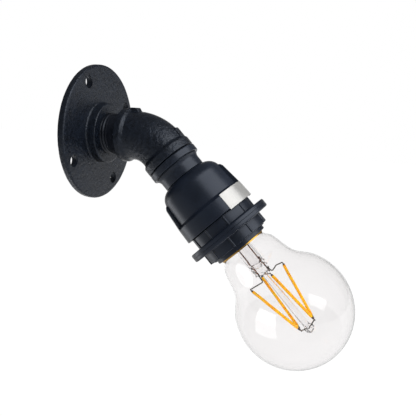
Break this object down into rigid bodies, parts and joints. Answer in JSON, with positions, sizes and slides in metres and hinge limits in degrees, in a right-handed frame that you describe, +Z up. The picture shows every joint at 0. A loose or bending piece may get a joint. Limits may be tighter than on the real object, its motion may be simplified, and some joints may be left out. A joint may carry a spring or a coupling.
{
  "type": "wall light",
  "caption": "Wall light of pipe fittings: round wall flange, nipple and angled elbow carry a screw-shell lamp holder with shade rings and a clear filament lamp.",
  "frame": {"origin": "centre of the wall flange's back face, on the wall", "axes": "+Y into the wall, along the screw holes; +Z up; the light stands out towards -Y"},
  "size_m": [0.0708, 0.1443, 0.1461],
  "materials": {
    "black_cast_iron": "sand-cast, black paint, satin",
    "black_steel_pipe": "drawn pipe, black paint, satin",
    "black_painted_steel": "turned, black paint, satin",
    "black_thermoplastic": "moulded, satin",
    "foil_label": "blank silver foil",
    "zinc_plated_steel": "bright zinc plate",
    "white_thermoset": "moulded, matt",
    "contact_brass": "stamped, bright",
    "lead_sheath": "matt flexible sheath",
    "brown_insulation": "satin",
    "blue_insulation": "satin",
    "solder": "dull solder",
    "black_glass": "fused black glass",
    "lamp_brass": "pressed, bright",
    "clear_glass": "clear blown glass",
    "support_wire": "drawn nickel-iron wire",
    "filament_phosphor": "yellow phosphor coating"
  },
  "bodies": {
    "wall_mount": {"wall_flange": "black_cast_iron", "wall_nipple": "black_steel_pipe", "lead_in_nipple": "lead_sheath", "brown_tail": "brown_insulation", "blue_tail": "blue_insulation"},
    "elbow_pipe": {"elbow": "black_cast_iron", "lead_in_elbow": "lead_sheath"},
    "lamp_holder": {"adaptor": "black_painted_steel", "entry_tube": "zinc_plated_steel", "lock_nut": "zinc_plated_steel", "holder_cap": "black_thermoplastic", "label": "foil_label", "outer_shell": "black_thermoplastic", "contact_insert": "white_thermoset", "centre_contact": "contact_brass", "side_contact": "contact_brass", "line_terminal": "contact_brass", "neutral_terminal": "contact_brass", "terminal_screws": "zinc_plated_steel", "lead_in_holder": "lead_sheath", "brown_core": "brown_insulation", "blue_core": "blue_insulation"},
    "upper_ring": {"upper_shade_ring": "black_thermoplastic"},
    "lower_ring": {"lower_shade_ring": "black_thermoplastic"},
    "lamp_pad": {"lamp_contact": "solder"},
    "lamp": {"lamp_insulator": "black_glass", "lamp_shell": "lamp_brass", "lamp_glass": "clear_glass", "glass_stem": "clear_glass", "lead_in_wires": "support_wire", "cross_wires": "support_wire", "foot_links": "support_wire", "filament_1": "filament_phosphor", "filament_2": "filament_phosphor", "filament_3": "filament_phosphor", "filament_4": "filament_phosphor"}
  },
  "joints": [
    {"name": "elbow_turn", "type": "hinge", "parent": "wall_mount", "child": "elbow_pipe", "pos_m": [0, -0.0336, 0], "axis": [0, -1, 0], "range_deg": [-90, 90]},
    {"name": "holder_turn", "type": "hinge", "parent": "elbow_pipe", "child": "lamp_holder", "pos_m": [0, -0.0336, 0], "axis": [0, -0.7071, -0.7071], "range_deg": [-90, 90]},
    {"name": "upper_ring_travel", "type": "slide", "parent": "lamp_holder", "child": "upper_ring", "axis": [0, -0.7071, -0.7071], "range_m": [0, 0.003]},
    {"name": "lower_ring_travel", "type": "slide", "parent": "upper_ring", "child": "lower_ring", "axis": [0, -0.7071, -0.7071], "range_m": [0, 0.006]},
    {"name": "lamp_advance", "type": "slide", "parent": "lamp_holder", "child": "lamp_pad", "axis": [0, -0.7071, -0.7071], "range_m": [0, 0.01815]},
    {"name": "lamp_turn", "type": "hinge", "parent": "lamp_pad", "child": "lamp", "pos_m": [0, -0.06683, -0.03323], "axis": [0, -0.7071, -0.7071], "range_deg": [0, 1800]}
  ],
  "couplings": [
    {"joint": "lamp_turn", "follows": "lamp_advance", "rad_per_m": 1731.4}
  ]
}
